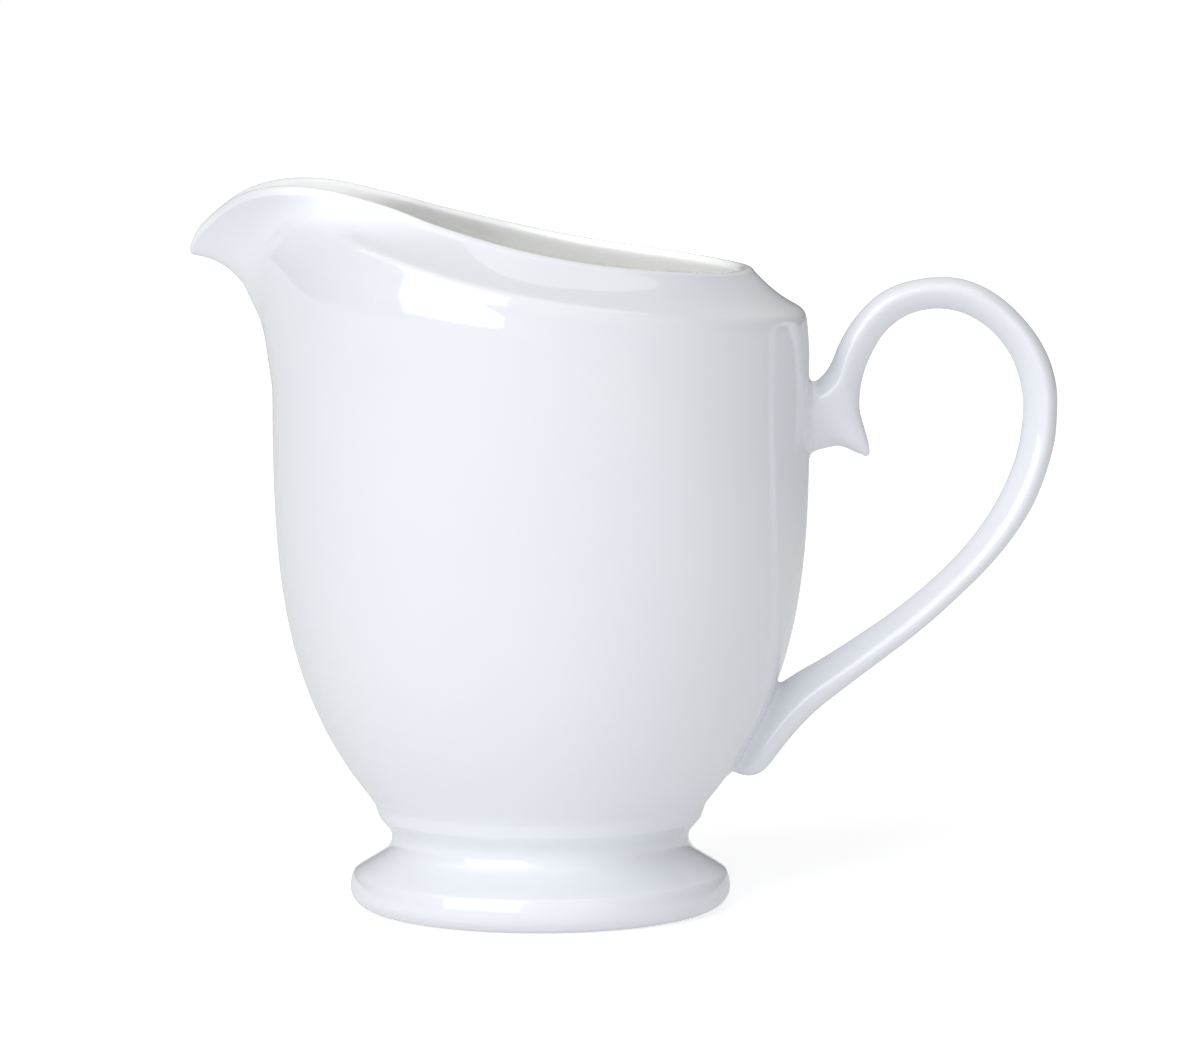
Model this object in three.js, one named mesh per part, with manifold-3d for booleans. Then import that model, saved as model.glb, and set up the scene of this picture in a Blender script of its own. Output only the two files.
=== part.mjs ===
// Porcelain cream jug, in millimetres. +Z is up, the handle points to +X, the spout to -X.
// Every shape is mirror-symmetric about the XZ plane. The origin is under the middle of the
// bounding box, on the plane that the foot stands on.
//
// The jug is six separate solids: the cast body, the cast pedestal foot, the cast handle, and the
// three thin layers of slip that join them. Neighbours keep a gap of JOINT_GAP.

import * as THREE from 'three';
import { toCreasedNormals } from 'three/addons/utils/BufferGeometryUtils.js';
import Module from 'manifold-3d';

// ---------------------------------------------------------------- sizes

const AXIS_X = -12.25;        // the bowl's axis, left of the middle of the bounding box
const JOINT_GAP = 0.3;        // clearance on each side of a slip layer
const SLIP = 0.4;             // thickness of a slip layer
const WALL = 2.5;             // wall of the body
const LIP_HALF = 1.2;         // half the thickness of the rolled rim

const BODY_SIDES = 56;
const FOOT_SIDES = 44;
const HANDLE_SIDES = 12;

// The bowl's outside is a flattened superellipse of revolution, a little fuller at the handle.
const BOWL_RADIUS = 38.5;
const BOWL_WIDEST_Z = 84.4;
const BOWL_DEPTH = 86.3;
const BOWL_POWERS = [3.95, 1.124];
const FULLER = { most: 0.4, from: 12, to: 92 };
const BOWL_BASE_Z = 15.35;
const WALL_TOP_Z = 75.3;
const BOWL_ROWS = 10;

// The waist, flared cove and collar under the bowl, as [radius, height], and the bowl's floor.
const WAIST_Z = 10.2;
const COLLAR = [[21.5, 11.05], [22.3, 12.0], [23.3, 13.2], [24.0, BOWL_BASE_Z - 0.1]];
const FLOOR = [[21.6, 17.6], [16.5, 14.9], [9.0, 13.9]];

// Rings of the upper body. Each knot is [angle from the handle, radius, height].
const LIP_CREST = [
  [0, 29.4, 92.8], [25, 29.9, 92.8], [45, 30.6, 93.3], [65, 30.4, 94.3], [80, 29.9, 95.4],
  [95, 29.5, 97.0], [110, 28.2, 98.8], [125, 27.2, 100.5], [138, 27.4, 102.1],
  [148, 30.0, 103.5], [156, 34.0, 104.7], [161, 37.4, 104.95], [166, 40.6, 104.5],
  [171, 43.8, 103.1], [176, 47.5, 99.9], [178, 49.2, 97.8],
  [180, 49.9, 96.0],
];
const SHOULDER = [
  [0, 37.9, 86.5], [30, 38.0, 86.6], [45, 38.1, 86.9], [60, 38.2, 87.8], [75, 38.2, 88.9],
  [90, 38.1, 90.4], [105, 37.9, 92.6], [120, 37.3, 95.2], [135, 36.2, 97.6],
  [145, 35.8, 98.8], [155, 36.6, 99.3], [162, 38.0, 98.4], [168, 39.6, 96.6],
  [174, 41.3, 93.4], [180, 42.5, 90.2],
];
// The wall 6 mm and 2.2 mm below the shoulder's edge, as [angle, radius].
const WALL_UNDER_6 = [
  [0, 38.7], [90, 38.5], [120, 38.5], [135, 38.3], [145, 38.2], [155, 38.5], [162, 39.2],
  [168, 39.8], [174, 40.1], [180, 39.9],
];
const WALL_UNDER_2 = [
  [0, 38.45], [90, 38.4], [120, 38.0], [135, 37.4], [145, 37.1], [155, 37.6], [162, 38.9],
  [168, 40.0], [174, 41.1], [180, 41.5],
];
// How far the rim leans outward from the vertical, as [angle, degrees].
const LIP_LEAN = [[0, -14], [110, -14], [140, -8], [155, 6], [165, 18], [173, 34], [180, 55]];
// How far the sloped shoulder hollows in, and how much the spout softens its edge (0 to 1).
const SHOULDER_SAG = [[0, 0.4], [140, 0.5], [160, 0.75], [180, 0.95]];
const BAND_STATIONS = [0.36, 0.7];   // points on the sloped shoulder, from its edge to the lip
const EDGE_SOFTNESS = [[0, 0], [120, 0.1], [145, 0.55], [160, 1], [180, 1]];

// Outside and inside of the pedestal foot, as [radius, height], up from the standing ring.
const FOOT_OUTSIDE = [
  [24.2, 0], [25.5, 0.3], [26.75, 1.1], [27.4, 2.3], [27.45, 3.3], [27.2, 4.5], [26.75, 5.3],
  [25.5, 6.2], [23.6, 7.35], [22.3, 8.4], [21.65, 9.2],
];
const FOOT_INSIDE = [
  [18.2, 9.2], [18.4, 8.3], [20.0, 6.7], [22.0, 5.1], [22.9, 3.3], [22.4, 1.5], [21.4, 0.5],
  [21.0, 0],
];
const FOOT_TOP_Z = WAIST_Z - SLIP / 2 - JOINT_GAP;
const BODY_BOTTOM_Z = WAIST_Z + SLIP / 2 + JOINT_GAP;

// Handle, as pairs of facing points [x, z] on its outer and inner edge, measured from the bowl's
// axis, with the depth across at that pair. It runs from the bracket round to the terminal.
const HANDLE_LOOP = [
  [36.4, 76.6, 36.4, 65.2, 8.4], [38.8, 75.9, 39.3, 66.1, 8.0], [40.7, 77.1, 42.6, 67.2, 7.4],
  [41.9, 78.9, 45.3, 70.2, 6.8], [42.75, 81.0, 46.0, 74.4, 6.3], [43.8, 83.1, 46.9, 78.4, 6.0],
  [45.25, 85.3, 48.8, 82.2, 5.9], [47.2, 87.5, 50.6, 84.25, 5.9], [49.6, 89.3, 52.3, 85.45, 5.9],
  [52.6, 90.5, 54.3, 86.25, 5.9], [56.3, 91.15, 57.0, 86.65, 5.9],
  [60.2, 91.0, 59.8, 86.3, 5.9], [63.9, 89.7, 62.1, 85.4, 5.9], [67.1, 87.55, 64.3, 83.95, 5.9],
  [69.8, 84.85, 66.25, 81.95, 5.9], [72.0, 81.85, 67.85, 79.45, 6.0],
  [73.55, 78.5, 68.9, 76.6, 6.0], [74.35, 75.0, 69.4, 73.9, 6.1], [74.43, 71.6, 69.45, 71.4, 6.1],
  [74.1, 67.8, 69.1, 68.2, 6.1], [73.1, 63.7, 68.35, 64.95, 6.1], [71.35, 59.0, 66.7, 60.8, 6.1],
  [68.7, 54.4, 64.25, 56.4, 6.1], [65.0, 49.7, 60.8, 51.9, 6.1], [60.3, 44.95, 56.5, 47.55, 6.2],
  [54.9, 40.1, 51.4, 43.3, 6.3], [49.1, 35.6, 45.85, 39.4, 6.5], [43.5, 31.35, 40.3, 35.85, 6.8],
  [39.7, 28.25, 35.6, 33.0, 7.2], [37.0, 25.45, 31.8, 29.6, 7.6], [34.95, 22.95, 29.4, 26.4, 7.8],
  [33.4, 20.9, 28.0, 23.6, 7.4], [31.9, 19.45, 27.2, 21.8, 6.2], [30.3, 18.95, 26.4, 20.6, 4.0],
];
// The thorn under the bracket, as [x, z, half width, half depth] down to its tip.
const THORN = [
  [42.4, 71.4, 2.9, 2.7], [44.05, 69.5, 2.6, 2.5], [45.3, 67.95, 1.95, 2.0],
  [46.3, 66.75, 1.35, 1.4], [46.9, 66.05, 0.85, 0.85],
];

// ---------------------------------------------------------------- interpolation

const radians = (degrees) => degrees * Math.PI / 180;

// Smooth value between knots [angle, v1, v2, ...]; it levels out at both ends of the half turn.
function atAngle(knots, degrees, column = 1) {
  const last = knots.length - 1;
  const slope = (i) => {
    if (i === 0 || i === last) return 0;
    return (knots[i + 1][column] - knots[i - 1][column]) / (knots[i + 1][0] - knots[i - 1][0]);
  };
  let i = 0;
  while (i < last - 1 && degrees > knots[i + 1][0]) i += 1;
  const width = knots[i + 1][0] - knots[i][0];
  const t = Math.min(1, Math.max(0, (degrees - knots[i][0]) / width));
  const t2 = t * t;
  const t3 = t2 * t;
  return (2 * t3 - 3 * t2 + 1) * knots[i][column] + (t3 - 2 * t2 + t) * width * slope(i)
    + (3 * t2 - 2 * t3) * knots[i + 1][column] + (t3 - t2) * width * slope(i + 1);
}

// ---------------------------------------------------------------- solids from rings

// A closed solid through a list of rings, each a closed loop of points. The ends are closed by a
// fan, or the last ring joins the first when `looped` is true.
function ringSolid(rings, looped = false) {
  const sides = rings[0].length;
  const vertices = rings.flat();
  const faces = [];
  const bands = looped ? rings.length : rings.length - 1;
  for (let i = 0; i < bands; i += 1) {
    const a = i * sides;
    const b = ((i + 1) % rings.length) * sides;
    for (let j = 0; j < sides; j += 1) {
      const k = (j + 1) % sides;
      faces.push([a + j, b + j, b + k], [a + j, b + k, a + k]);
    }
  }
  if (!looped) {
    for (const [ring, start, turned] of [
      [rings[0], 0, true], [rings.at(-1), (rings.length - 1) * sides, false],
    ]) {
      const middle = ring.reduce((sum, p) => sum.add(p), new THREE.Vector3());
      const centre = vertices.push(middle.divideScalar(sides)) - 1;
      for (let j = 0; j < sides; j += 1) {
        const k = (j + 1) % sides;
        const pair = turned ? [start + j, start + k] : [start + k, start + j];
        faces.push([centre, ...pair]);
      }
    }
  }
  return outwardGeometry(vertices, faces);
}

function outwardGeometry(vertices, faces) {
  const volume = faces.reduce((sum, [a, b, c]) => (
    sum + vertices[a].dot(vertices[b].clone().cross(vertices[c]))
  ), 0);
  const index = faces.flatMap(([a, b, c]) => (volume > 0 ? [a, b, c] : [a, c, b]));
  const geometry = new THREE.BufferGeometry();
  const positions = vertices.flatMap((p) => [p.x, p.y, p.z]);
  geometry.setAttribute('position', new THREE.Float32BufferAttribute(positions, 3));
  geometry.setIndex(index);
  return geometry;
}

function circleRing(radius, z, sides) {
  return Array.from({ length: sides }, (_, j) => {
    const angle = 2 * Math.PI * j / sides;
    return new THREE.Vector3(radius * Math.cos(angle), radius * Math.sin(angle), z);
  });
}

const turnedSolid = (profile, sides, looped = false) => (
  ringSolid(profile.map(([r, z]) => circleRing(r, z, sides)), looped)
);

// ---------------------------------------------------------------- body

// Angles round the jug in degrees, from -180 to 180 with 0 at the handle, closer at the spout.
function bodyAngles() {
  return Array.from({ length: BODY_SIDES }, (_, j) => {
    const s = 2 * j / BODY_SIDES - 1;
    return 180 * (s + 0.32 * Math.sin(Math.PI * Math.abs(s)) * Math.sign(s) / Math.PI);
  });
}

const polar = (degrees, radius, z) => new THREE.Vector3(
  radius * Math.cos(radians(degrees)), radius * Math.sin(radians(degrees)), z,
);

// Heights of the bowl's rows, closer together where it curves more.
const bowlHeight = (row) => (
  BOWL_BASE_Z + (WALL_TOP_Z - BOWL_BASE_Z) * (row / BOWL_ROWS) ** 1.5
);

function bowlRadius(degrees, z) {
  const depth = Math.max(0, (BOWL_WIDEST_Z - z) / BOWL_DEPTH);
  const radius = BOWL_RADIUS * (1 - depth ** BOWL_POWERS[0]) ** (1 / BOWL_POWERS[1]);
  const swell = Math.sin(Math.PI * (z - FULLER.from) / (FULLER.to - FULLER.from));
  return radius + FULLER.most * swell * (1 + Math.cos(radians(degrees))) / 2;
}

// A point of the bowl, moved `offset` outward square to its surface.
function bowlPoint(degrees, z, offset = 0) {
  const slope = (bowlRadius(degrees, z + 0.1) - bowlRadius(degrees, z - 0.1)) / 0.2;
  const length = Math.hypot(1, slope);
  return polar(degrees, bowlRadius(degrees, z) + offset / length, z - offset * slope / length);
}

// Horizontal direction square to the lip's crest at an angle of 0 to 180 degrees.
function lipNormal(degrees) {
  if (degrees < 0.1 || degrees > 179.9) return polar(degrees, 1, 0).setY(0);
  const before = polar(degrees - 0.1, atAngle(LIP_CREST, degrees - 0.1), 0);
  const after = polar(degrees + 0.1, atAngle(LIP_CREST, degrees + 0.1), 0);
  const along = after.sub(before).normalize();
  return new THREE.Vector3(along.y, -along.x, 0);
}

// A point of the rolled rim: `out` towards the outside, `down` from the crest.
function lipPoint(degrees, out, down) {
  const lean = radians(atAngle(LIP_LEAN, degrees));
  const crest = polar(degrees, atAngle(LIP_CREST, degrees), atAngle(LIP_CREST, degrees, 2));
  const sideways = out * Math.cos(lean) - down * Math.sin(lean);
  crest.addScaledVector(lipNormal(degrees), sideways);
  crest.z -= out * Math.sin(lean) + down * Math.cos(lean);
  return crest;
}

// The outside of the upper body at one angle, from the wall to the lip. `soft` leaves out the
// tight points beside the shoulder's edge.
function upperOutside(degrees, soft) {
  const edgeRadius = atAngle(SHOULDER, degrees);
  const edgeZ = atAngle(SHOULDER, degrees, 2);
  const edge = polar(degrees, edgeRadius, edgeZ);
  const under2 = polar(degrees, atAngle(WALL_UNDER_2, degrees), edgeZ - 2.2);
  const under6 = polar(degrees, atAngle(WALL_UNDER_6, degrees), edgeZ - 6);
  const lip = lipPoint(degrees, LIP_HALF, 1.1);
  const chord = lip.clone().sub(edge);
  const rise = chord.z;
  const run = chord.dot(polar(degrees, 1, 0));
  const sag = atAngle(SHOULDER_SAG, degrees) / Math.hypot(rise, run);
  const hollow = polar(degrees, -rise * sag, run * sag);
  const slope = (t) => (
    edge.clone().addScaledVector(chord, t).addScaledVector(hollow, 4 * t * (1 - t))
  );
  const wall = [under6, under2];
  const band = [...BAND_STATIONS.map(slope), lip];
  if (soft) return [...wall, edge, ...band];
  const tight = 1 - atAngle(EDGE_SOFTNESS, degrees);
  const below = edge.clone().lerp(under2, 0.42).lerp(edge.clone().lerp(under2, 0.3), tight);
  const above = edge.clone().lerp(band[0], 0.2).lerp(edge.clone().lerp(band[0], 0.14), tight);
  below.addScaledVector(polar(degrees, 1, 0), 0.2 * tight);
  above.z += 0.12 * tight;
  return [...wall, below, edge, above, ...band];
}

// The rim, over its crest from outside to inside.
const lipRow = (degrees) => [
  lipPoint(degrees, 0.86 * LIP_HALF, 0.34), lipPoint(degrees, 0, 0),
  lipPoint(degrees, -0.86 * LIP_HALF, 0.34), lipPoint(degrees, -LIP_HALF, 1.1),
];

// The inside of the upper body: the soft outside moved in by the wall along its own normal.
function upperInside(degrees) {
  const softRow = (angle) => {
    const mirrored = angle < 0 || angle > 180;
    const row = upperOutside(angle > 180 ? 360 - angle : Math.abs(angle), true);
    if (mirrored) row.forEach((p) => { p.y = -p.y; });
    return [bowlPoint(angle, bowlHeight(BOWL_ROWS)), ...row];
  };
  const row = softRow(degrees);
  const side = softRow(degrees - 0.5);
  const next = softRow(degrees + 0.5);
  const inner = row.map((p, i) => {
    const up = row[Math.min(i + 1, row.length - 1)].clone().sub(row[Math.max(i - 1, 0)]);
    const round = next[i].clone().sub(side[i]);
    return p.clone().addScaledVector(round.cross(up).normalize(), -WALL);
  });
  return inner.slice(0, -1).reverse();
}

function bodyRow(degrees) {
  const turned = Math.abs(degrees);
  const bowlRows = Array.from({ length: BOWL_ROWS + 1 }, (_, i) => bowlHeight(i));
  const row = [
    polar(turned, 21.45, BODY_BOTTOM_Z),
    ...COLLAR.map(([r, z]) => polar(turned, r, z)),
    ...bowlRows.map((z) => bowlPoint(turned, z)),
    ...upperOutside(turned, false),
    ...lipRow(turned),
    ...upperInside(turned),
    ...bowlRows.slice(2, -1).reverse().map((z) => bowlPoint(turned, z, -WALL)),
    ...FLOOR.map(([r, z]) => polar(turned, r, z)),
  ];
  if (degrees < 0) row.forEach((p) => { p.y = -p.y; });
  return row;
}

function bodyGeometry() {
  const rows = bodyAngles().map(bodyRow);
  return ringSolid(rows[0].map((_, i) => rows.map((row) => row[i])));
}

// ---------------------------------------------------------------- foot and its slip ring

const footGeometry = () => turnedSolid(
  [...FOOT_OUTSIDE, [21.5, FOOT_TOP_Z], [18.1, FOOT_TOP_Z], ...FOOT_INSIDE], FOOT_SIDES, true,
);

const footSlipGeometry = () => turnedSolid([
  [18.2, WAIST_Z - SLIP / 2], [21.4, WAIST_Z - SLIP / 2], [21.5, WAIST_Z],
  [21.4, WAIST_Z + SLIP / 2], [18.2, WAIST_Z + SLIP / 2],
], FOOT_SIDES, true);

// ---------------------------------------------------------------- handle

// An oval section between two facing points in the XZ plane, `depth` wide across Y.
function ovalSection(outer, inner, depth, grow) {
  const middle = outer.clone().add(inner).multiplyScalar(0.5);
  const half = outer.clone().sub(middle);
  half.setLength(half.length() + grow);
  return Array.from({ length: HANDLE_SIDES }, (_, j) => {
    const angle = 2 * Math.PI * j / HANDLE_SIDES;
    const point = middle.clone().addScaledVector(half, Math.cos(angle));
    point.y += (depth / 2 + grow) * Math.sin(angle);
    return point;
  });
}

function loopGeometry(grow = 0) {
  const sections = HANDLE_LOOP.map(([ox, oz, ix, iz, depth]) => (
    ovalSection(new THREE.Vector3(ox, 0, oz), new THREE.Vector3(ix, 0, iz), depth, grow)
  ));
  return ringSolid(sections);
}

function thornGeometry() {
  const centres = THORN.map(([x, z]) => new THREE.Vector3(x, 0, z));
  const sections = THORN.map(([, , width, depth], i) => {
    const from = centres[Math.max(i - 1, 0)];
    const to = centres[Math.min(i + 1, centres.length - 1)];
    const along = to.clone().sub(from).normalize();
    const across = new THREE.Vector3(-along.z, 0, along.x).multiplyScalar(width);
    const outer = centres[i].clone().add(across);
    const inner = centres[i].clone().sub(across);
    return ovalSection(outer, inner, 2 * depth, 0);
  });
  const tip = centres.at(-1).clone().add(new THREE.Vector3(0.22, 0, -0.38));
  sections.push(sections.at(-1).map((p) => tip.clone().lerp(p, 0.35)));
  return ringSolid(sections);
}

// ---------------------------------------------------------------- cuts against the body's wall

const wasm = await Module();
wasm.setup();

function toManifold(geometry) {
  const mesh = new wasm.Mesh({
    numProp: 3,
    vertProperties: new Float32Array(geometry.attributes.position.array),
    triVerts: new Uint32Array(geometry.index.array),
  });
  return new wasm.Manifold(mesh);
}

function fromManifold(solid) {
  const mesh = solid.getMesh();
  const geometry = new THREE.BufferGeometry();
  const positions = new Float32Array(mesh.vertProperties);
  geometry.setAttribute('position', new THREE.BufferAttribute(positions, 3));
  geometry.setIndex(Array.from(mesh.triVerts));
  return geometry;
}

// The bowl and wall below the spout as a solid, grown by `offset` square to its surface.
function grownBowl(offset) {
  const profile = Array.from({ length: BOWL_ROWS + 3 }, (_, i) => {
    const point = bowlPoint(0, bowlHeight(i), offset);
    return [point.x, point.z];
  });
  return toManifold(turnedSolid(profile, 2 * BODY_SIDES));
}

function handleParts() {
  const bar = toManifold(loopGeometry()).add(toManifold(thornGeometry()));
  const handle = bar.subtract(grownBowl(2 * JOINT_GAP + SLIP));
  const layer = grownBowl(JOINT_GAP + SLIP).subtract(grownBowl(JOINT_GAP));
  const pads = toManifold(loopGeometry(0.35)).intersect(layer).decompose();
  const height = (solid) => solid.boundingBox().min[2];
  const ordered = pads.filter((pad) => pad.volume() > 1).sort((a, b) => height(b) - height(a));
  const pieces = handle.decompose().filter((piece) => piece.volume() > 50);
  return { handle: pieces[0], upper: ordered[0], lower: ordered[1] };
}

// ---------------------------------------------------------------- materials and assembly

const glaze = (color) => new THREE.MeshStandardMaterial({ color, roughness: 0.12, metalness: 0 });
const bareClay = () => new THREE.MeshStandardMaterial({
  color: 0xe9e4d8, roughness: 0.75, metalness: 0,
});

function part(name, geometry, material) {
  const mesh = new THREE.Mesh(toCreasedNormals(geometry, radians(35)), material);
  mesh.geometry.translate(AXIS_X, 0, 0);
  mesh.name = name;
  return mesh;
}

const { handle, upper, lower } = handleParts();
const jug = new THREE.Group();
jug.name = 'cream_jug';
jug.add(
  part('jug_body', bodyGeometry(), glaze(0xf1f3f6)),
  part('pedestal_foot', footGeometry(), glaze(0xf1f3f6)),
  part('handle', fromManifold(handle), glaze(0xf1f3f6)),
  part('upper_handle_slip_joint', fromManifold(upper), bareClay()),
  part('lower_handle_slip_joint', fromManifold(lower), bareClay()),
  part('foot_slip_joint', footSlipGeometry(), bareClay()),
);

export default jug;
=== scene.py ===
"""Porcelain cream jug: the finished look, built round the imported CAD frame.

Lengths in the tables below are millimetres in the jug's own frame: +Z is up from the standing
ring, +X points from the bowl's axis to the handle and -X to the spout. make_mesh() turns them
into metres and moves them onto the bowl's axis as the frame gives it.
"""

import math

import bpy
import numpy as np
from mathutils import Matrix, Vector


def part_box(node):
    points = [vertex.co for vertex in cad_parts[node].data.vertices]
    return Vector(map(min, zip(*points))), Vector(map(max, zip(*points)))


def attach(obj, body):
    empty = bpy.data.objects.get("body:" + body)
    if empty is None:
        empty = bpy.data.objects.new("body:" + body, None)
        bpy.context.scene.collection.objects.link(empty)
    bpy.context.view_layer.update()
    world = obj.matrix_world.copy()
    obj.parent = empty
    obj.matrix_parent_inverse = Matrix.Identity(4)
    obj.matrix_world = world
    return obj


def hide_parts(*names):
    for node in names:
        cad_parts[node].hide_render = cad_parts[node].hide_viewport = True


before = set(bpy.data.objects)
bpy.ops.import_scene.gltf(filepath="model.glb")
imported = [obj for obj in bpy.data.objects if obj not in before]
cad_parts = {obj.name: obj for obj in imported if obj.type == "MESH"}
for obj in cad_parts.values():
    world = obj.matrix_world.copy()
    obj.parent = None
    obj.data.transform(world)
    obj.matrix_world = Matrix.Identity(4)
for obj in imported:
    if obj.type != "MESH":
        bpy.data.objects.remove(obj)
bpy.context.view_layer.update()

# ------------------------------------------------------------------ sizes, as in the CAD source

FOOT_LOW, FOOT_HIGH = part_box("pedestal_foot")
AXIS_X = (FOOT_LOW.x + FOOT_HIGH.x) / 2      # the bowl's axis, in metres
MM = 0.001

WALL = 2.5
LIP_HALF = 1.2
LIP_ROUND = 1.27           # radius of the control rings round the rolled rim
LIP_DROP = 1.31            # their middle is this far under the crest
LIP_ARC, LIP_RINGS = (18, 162), 7
BODY_SIDES = 128
FOOT_SIDES = 96
BOWL_RINGS, RING_CROWDING = 23, 1.35
BAND_SHARES = (0.36, 0.7, 1.0)
INSIDE_EVENING = 14        # turns of smoothing inside the spout

BOWL_RADIUS = 38.47
BOWL_WIDEST_Z = 84.4
BOWL_DEPTH = 86.3
BOWL_POWERS = (3.95, 1.124)
FULLER_MOST, FULLER_FROM, FULLER_TO = 0.4, 12, 92
BOWL_BASE_Z, COLLAR_TO_BOWL = 15.35, 1.2
WALL_TOP_Z = 75.3
WALL_TOP_RISE = 3.6

WAIST_Z = 10.2
SLIP_HALF = 0.2
UNDERSIDE_RADII = (7, 14, 20, 21.1)
BODY_NECK, FOOT_NECK, NECK_STEP = (10.7, 12.9), (7.9, 9.9), 0.42
SLIP_REACH = 1.3          # the slip is proud of the waist this far up and down, by the next size
SLIP_PROUD = 0.012
# [height, radius] of the hollow curve from the top of the foot, over the joint, to the collar.
WAIST = np.array([
    (7.45, 23.4), (8.0, 22.62), (8.6, 22.05), (9.3, 21.63), (10.2, 21.46), (11.1, 21.64),
    (12.0, 22.23), (12.75, 22.88), (13.2, 23.25),
])
SPOUT_CROWDING = 0.62

# [radius, height] of the collar under the bowl, and of the bowl's floor inside.
COLLAR = [
    (23.25, 13.2), (23.42, 13.6), (23.7, 14.4), (23.95, 15.1), (24.15, 15.45), (24.5, 15.95),
]
FLOOR = [(21.9, 17.9), (19.6, 16.2), (16.5, 14.9), (12.6, 14.2), (8.5, 13.88), (4.2, 13.8)]

# [angle from the handle, radius, height].
LIP_CREST = np.array([
    (0, 29.4, 92.8), (25, 29.9, 92.8), (45, 30.6, 93.3), (65, 30.4, 94.3), (80, 29.9, 95.4),
    (95, 29.5, 97.0), (110, 28.2, 98.8), (125, 27.2, 100.5), (138, 27.4, 102.1),
    (148, 30.0, 103.5), (156, 34.0, 104.7), (161, 37.4, 104.95), (166, 40.6, 104.5),
    (171, 43.8, 103.1), (176, 47.55, 99.9), (178, 49.3, 97.8), (180, 50.03, 96.0),
])
SHOULDER = np.array([
    (0, 37.9, 86.5), (30, 38.0, 86.6), (45, 38.1, 86.9), (60, 38.2, 87.8), (75, 38.2, 88.9),
    (90, 38.1, 90.4), (105, 37.9, 92.6), (120, 37.3, 95.2), (135, 36.2, 97.6),
    (145, 35.8, 98.8), (155, 36.6, 99.3), (162, 38.0, 98.4), (168, 39.6, 96.6),
    (174, 41.3, 93.4), (180, 42.5, 90.2),
])
WALL_UNDER_6 = np.array([
    (0, 38.7), (90, 38.5), (120, 38.5), (135, 38.3), (145, 38.2), (155, 38.5), (162, 39.2),
    (168, 39.8), (174, 40.1), (180, 39.9),
])
WALL_UNDER_2 = np.array([
    (0, 38.45), (90, 38.4), (120, 38.0), (135, 37.4), (145, 37.1), (155, 37.6), (162, 38.9),
    (168, 40.0), (174, 41.1), (180, 41.5),
])
LIP_LEAN = np.array([
    (0, -14), (110, -14), (140, -8), (155, 6), (165, 18), (173, 34), (180, 55),
])
SHOULDER_SAG = np.array([(0, 0.4), (140, 0.5), (160, 0.75), (180, 0.95)])
EDGE_SOFTNESS = np.array([(0, 0), (120, 0.1), (145, 0.55), (160, 1), (180, 1)])

# [radius, height] of the pedestal foot, outside from the standing ring up, then inside down.
FOOT_OUTSIDE = [
    (24.1, 0.0), (24.5, 0.04), (25.5, 0.3), (26.35, 0.75), (27.0, 1.35), (27.38, 2.15),
    (27.5, 3.0), (27.42, 3.8), (27.25, 4.55), (27.02, 5.1), (26.6, 5.45), (25.5, 6.15),
    (24.4, 6.8), (23.4, 7.45),
]
FOOT_EDGE_AT = 9.5        # place in that row of the edge where the glaze runs thin
FOOT_INSIDE = [
    (18.2, 9.4), (18.3, 8.6), (18.9, 7.6), (20.2, 6.5), (21.8, 5.2), (22.8, 3.8), (22.9, 2.6),
    (22.4, 1.5), (21.6, 0.6), (21.2, 0.06), (20.9, 0.0),
]

# Facing points [x, z] on the handle's outer and inner edge, and the depth across them.
HANDLE_LOOP = np.array([
    (36.6, 76.6, 36.6, 65.2, 8.4), (38.8, 75.9, 39.3, 66.1, 8.0), (40.7, 77.1, 42.6, 67.2, 7.4),
    (41.9, 78.9, 45.3, 70.2, 6.8), (42.75, 81.0, 46.0, 74.4, 6.3), (43.8, 83.1, 46.9, 78.4, 6.0),
    (45.25, 85.3, 48.8, 82.2, 5.9), (47.2, 87.5, 50.6, 84.25, 5.9), (49.6, 89.3, 52.3, 85.45, 5.9),
    (52.6, 90.5, 54.3, 86.25, 5.9), (56.3, 91.15, 57.0, 86.65, 5.9), (60.2, 91.0, 59.8, 86.3, 5.9),
    (63.9, 89.7, 62.1, 85.4, 5.9), (67.1, 87.55, 64.3, 83.95, 5.9), (69.8, 84.85, 66.25, 81.95, 5.9),
    (72.0, 81.85, 67.85, 79.45, 6.0), (73.54, 78.5, 68.9, 76.6, 6.0), (74.33, 75.0, 69.4, 73.9, 6.1),
    (74.39, 71.6, 69.45, 71.4, 6.1), (74.1, 67.8, 69.1, 68.2, 6.1), (73.1, 63.7, 68.35, 64.95, 6.1),
    (71.35, 59.0, 66.7, 60.8, 6.1), (68.7, 54.4, 64.25, 56.4, 6.1), (65.0, 49.7, 60.8, 51.9, 6.1),
    (60.3, 44.95, 56.5, 47.55, 6.2), (54.9, 40.1, 51.4, 43.3, 6.3), (49.1, 35.6, 45.85, 39.4, 6.5),
    (43.5, 31.35, 40.3, 35.85, 6.8), (39.7, 28.25, 35.6, 33.0, 7.2), (37.0, 25.45, 31.8, 29.6, 7.6),
    (34.95, 22.95, 29.4, 26.4, 7.8), (33.4, 20.9, 28.0, 23.6, 7.4), (31.9, 19.45, 27.2, 22.0, 6.4),
    (30.4, 19.0, 26.8, 21.4, 5.4), (29.0, 19.2, 26.5, 21.1, 4.2), (27.6, 19.9, 26.2, 20.9, 2.6),
])

# [x, z] along the thorn under the bracket, with its half width and half depth.
THORN = np.array([
    (42.4, 71.4, 2.9, 2.7), (44.05, 69.5, 2.6, 2.5), (45.3, 67.95, 1.9, 1.95),
    (46.3, 66.75, 1.2, 1.25), (46.95, 65.95, 0.6, 0.6),
])

# ------------------------------------------------------------------ curves


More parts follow.
